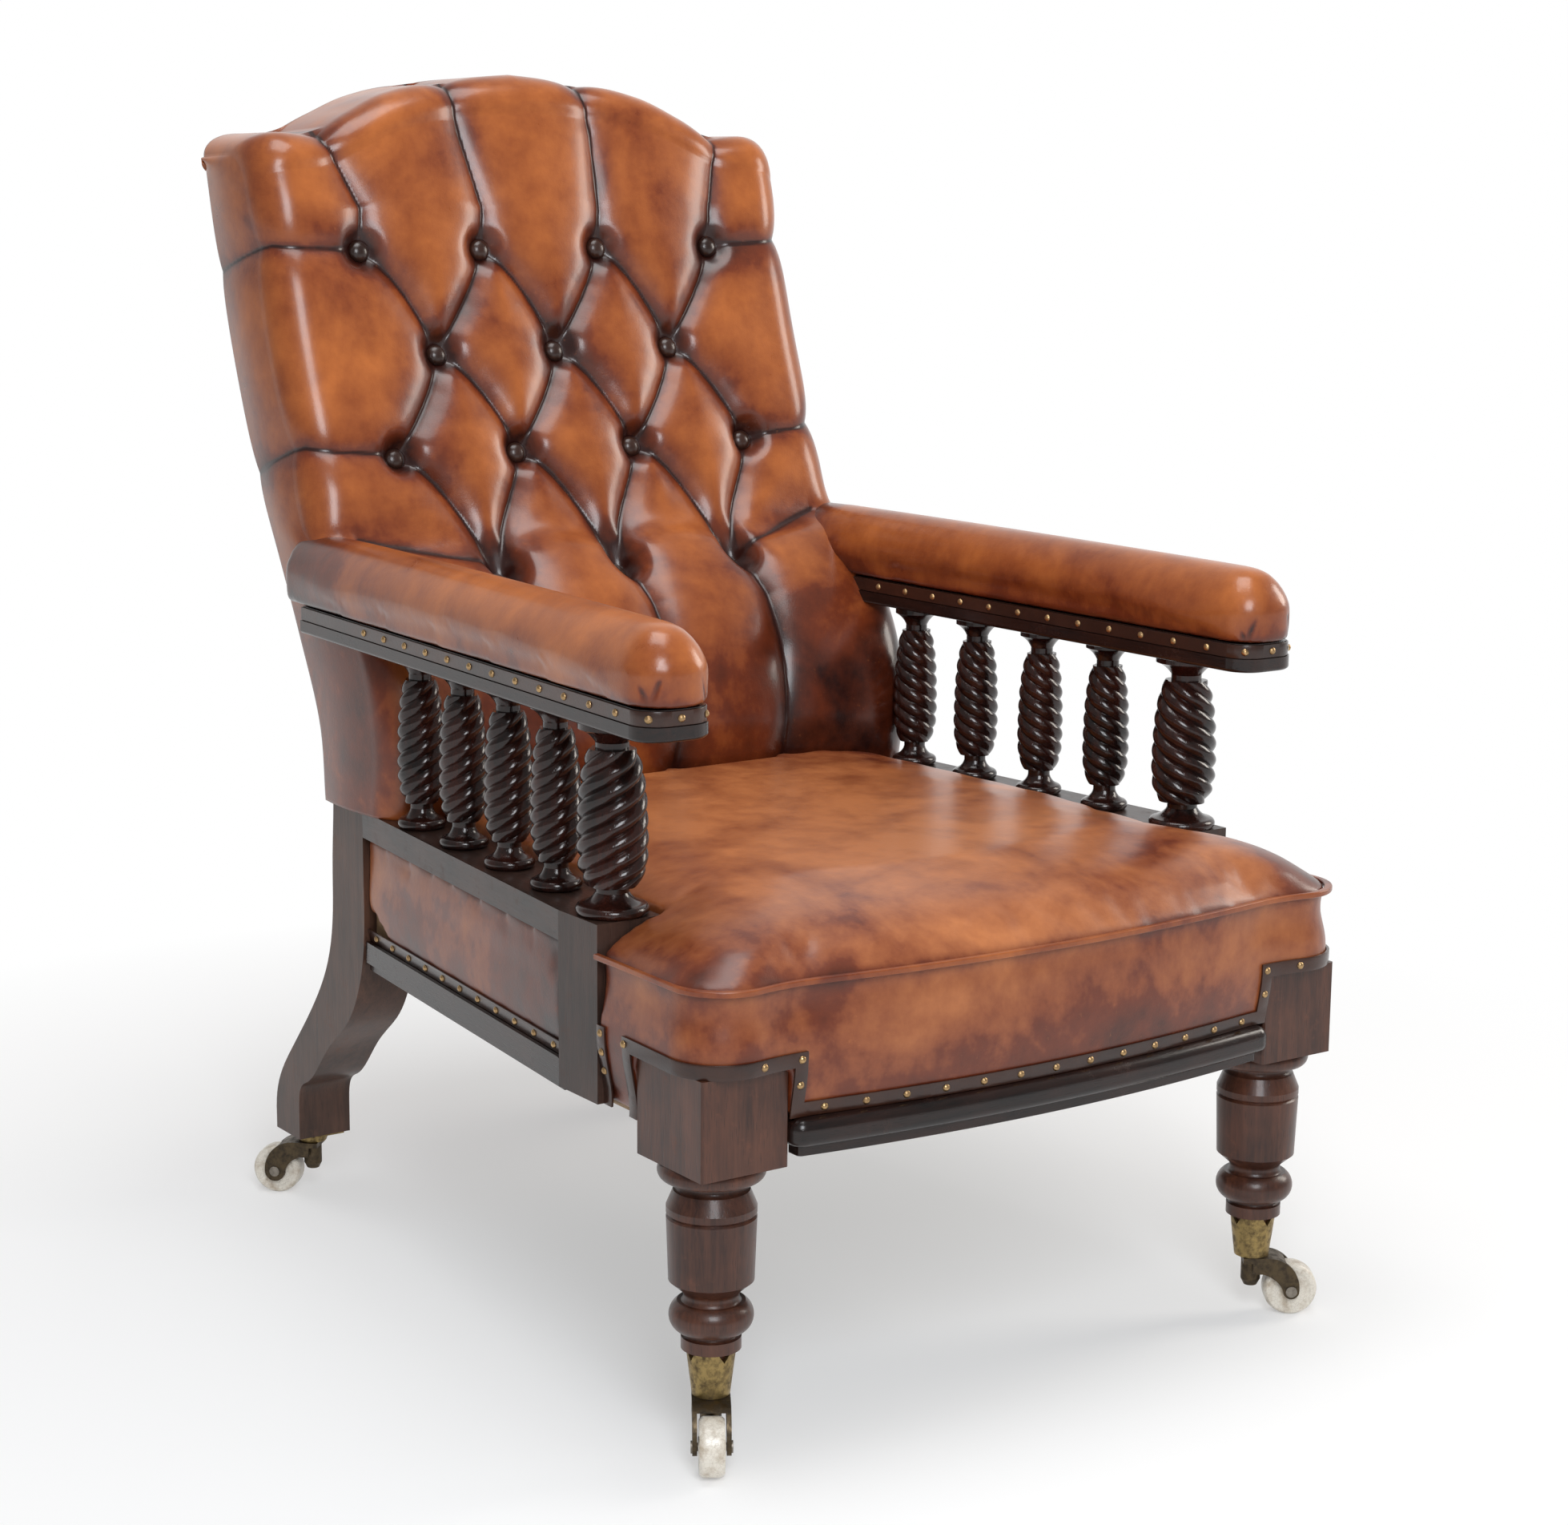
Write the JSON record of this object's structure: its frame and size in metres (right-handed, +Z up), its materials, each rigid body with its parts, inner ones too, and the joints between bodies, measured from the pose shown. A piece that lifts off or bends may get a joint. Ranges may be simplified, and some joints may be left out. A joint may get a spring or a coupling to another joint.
{
  "type": "library armchair",
  "caption": "Deep-buttoned leather library armchair with padded arms on turned spindles, turned front legs and four swivelling castors.",
  "frame": {"origin": "floor level, at the centre of the chair's plan", "axes": "+X to the sitter's left, -Y the front, +Z up"},
  "size_m": [0.627, 0.8769, 1],
  "materials": {
    "mahogany": "polished, aged, brown",
    "mahogany_dark": "glossy, very dark",
    "beech": "unfinished frame timber",
    "leather": "hand-coloured, glossy, worn",
    "leather_piping": "glossy tan",
    "leather_gimp": "glossy dark brown",
    "antique_brass": "dull, aged",
    "bronzed_iron": "dark bronze",
    "axle_steel": "dull",
    "castor_ceramic": "off-white, stained",
    "spring_steel": "plain wire",
    "jute": "woven",
    "black_cotton": "plain weave"
  },
  "bodies": {
    "frame": {"front_leg_left": "mahogany", "rear_leg_left": "mahogany", "front_leg_right": "mahogany", "rear_leg_right": "mahogany", "crest_rail": "beech", "lower_back_rail": "beech", "front_seat_rail": "beech", "rear_seat_rail": "beech", "side_seat_rail_left": "beech", "arm_post_left": "mahogany", "spindle_rail_left": "mahogany_dark", "side_rail_moulding_left": "mahogany_dark", "armrest_rail_left": "mahogany_dark", "spindle_front_left": "mahogany_dark", "spindle_1_left": "mahogany_dark", "spindle_2_left": "mahogany_dark", "spindle_3_left": "mahogany_dark", "spindle_4_left": "mahogany_dark", "arm_gimp_left": "leather_gimp", "arm_pad_left": "leather", "side_seat_rail_right": "beech", "arm_post_right": "mahogany", "spindle_rail_right": "mahogany_dark", "side_rail_moulding_right": "mahogany_dark", "armrest_rail_right": "mahogany_dark", "spindle_front_right": "mahogany_dark", "spindle_1_right": "mahogany_dark", "spindle_2_right": "mahogany_dark", "spindle_3_right": "mahogany_dark", "spindle_4_right": "mahogany_dark", "arm_gimp_right": "leather_gimp", "arm_pad_right": "leather", "front_rail_moulding": "mahogany_dark", "back_upholstery": "leather", "back_buttons": "leather_gimp", "outside_back": "leather", "seat_upholstery": "leather", "seat_piping": "leather_piping", "seat_gimp": "leather_gimp", "seat_springs": "spring_steel", "seat_webbing": "jute", "dust_cover": "black_cotton", "gimp_nails": "antique_brass", "castor_socket_front_right": "antique_brass", "castor_socket_front_left": "antique_brass", "castor_socket_rear_right": "antique_brass", "castor_socket_rear_left": "antique_brass"},
    "swivel_front_right": {"castor_fork_front_right": "bronzed_iron", "castor_axle_front_right": "axle_steel"},
    "wheel_front_right": {"castor_wheel_front_right": "castor_ceramic"},
    "swivel_front_left": {"castor_fork_front_left": "bronzed_iron", "castor_axle_front_left": "axle_steel"},
    "wheel_front_left": {"castor_wheel_front_left": "castor_ceramic"},
    "swivel_rear_right": {"castor_fork_rear_right": "bronzed_iron", "castor_axle_rear_right": "axle_steel"},
    "wheel_rear_right": {"castor_wheel_rear_right": "castor_ceramic"},
    "swivel_rear_left": {"castor_fork_rear_left": "bronzed_iron", "castor_axle_rear_left": "axle_steel"},
    "wheel_rear_left": {"castor_wheel_rear_left": "castor_ceramic"}
  },
  "joints": [
    {"name": "swivel_front_right", "type": "hinge", "parent": "frame", "child": "swivel_front_right", "pos_m": [-0.266, -0.369, 0.05], "axis": [0, 0, 1], "continuous": true},
    {"name": "roll_front_right", "type": "hinge", "parent": "swivel_front_right", "child": "wheel_front_right", "pos_m": [-0.28296, -0.39614, 0.022], "axis": [0.848, -0.5299, 0], "continuous": true},
    {"name": "swivel_front_left", "type": "hinge", "parent": "frame", "child": "swivel_front_left", "pos_m": [0.266, -0.369, 0.05], "axis": [0, 0, 1], "continuous": true},
    {"name": "roll_front_left", "type": "hinge", "parent": "swivel_front_left", "child": "wheel_front_left", "pos_m": [0.29221, -0.38735, 0.022], "axis": [0.5736, 0.8192, 0], "continuous": true},
    {"name": "swivel_rear_right", "type": "hinge", "parent": "frame", "child": "swivel_rear_right", "pos_m": [-0.241, 0.324, 0.05], "axis": [0, 0, 1], "continuous": true},
    {"name": "roll_rear_right", "type": "hinge", "parent": "swivel_rear_right", "child": "wheel_rear_right", "pos_m": [-0.26402, 0.34623, 0.022], "axis": [-0.6947, -0.7193, 0], "continuous": true},
    {"name": "swivel_rear_left", "type": "hinge", "parent": "frame", "child": "swivel_rear_left", "pos_m": [0.241, 0.324, 0.05], "axis": [0, 0, 1], "continuous": true},
    {"name": "roll_rear_left", "type": "hinge", "parent": "swivel_rear_left", "child": "wheel_rear_left", "pos_m": [0.25602, 0.35225, 0.022], "axis": [-0.8829, 0.4695, 0], "continuous": true}
  ]
}
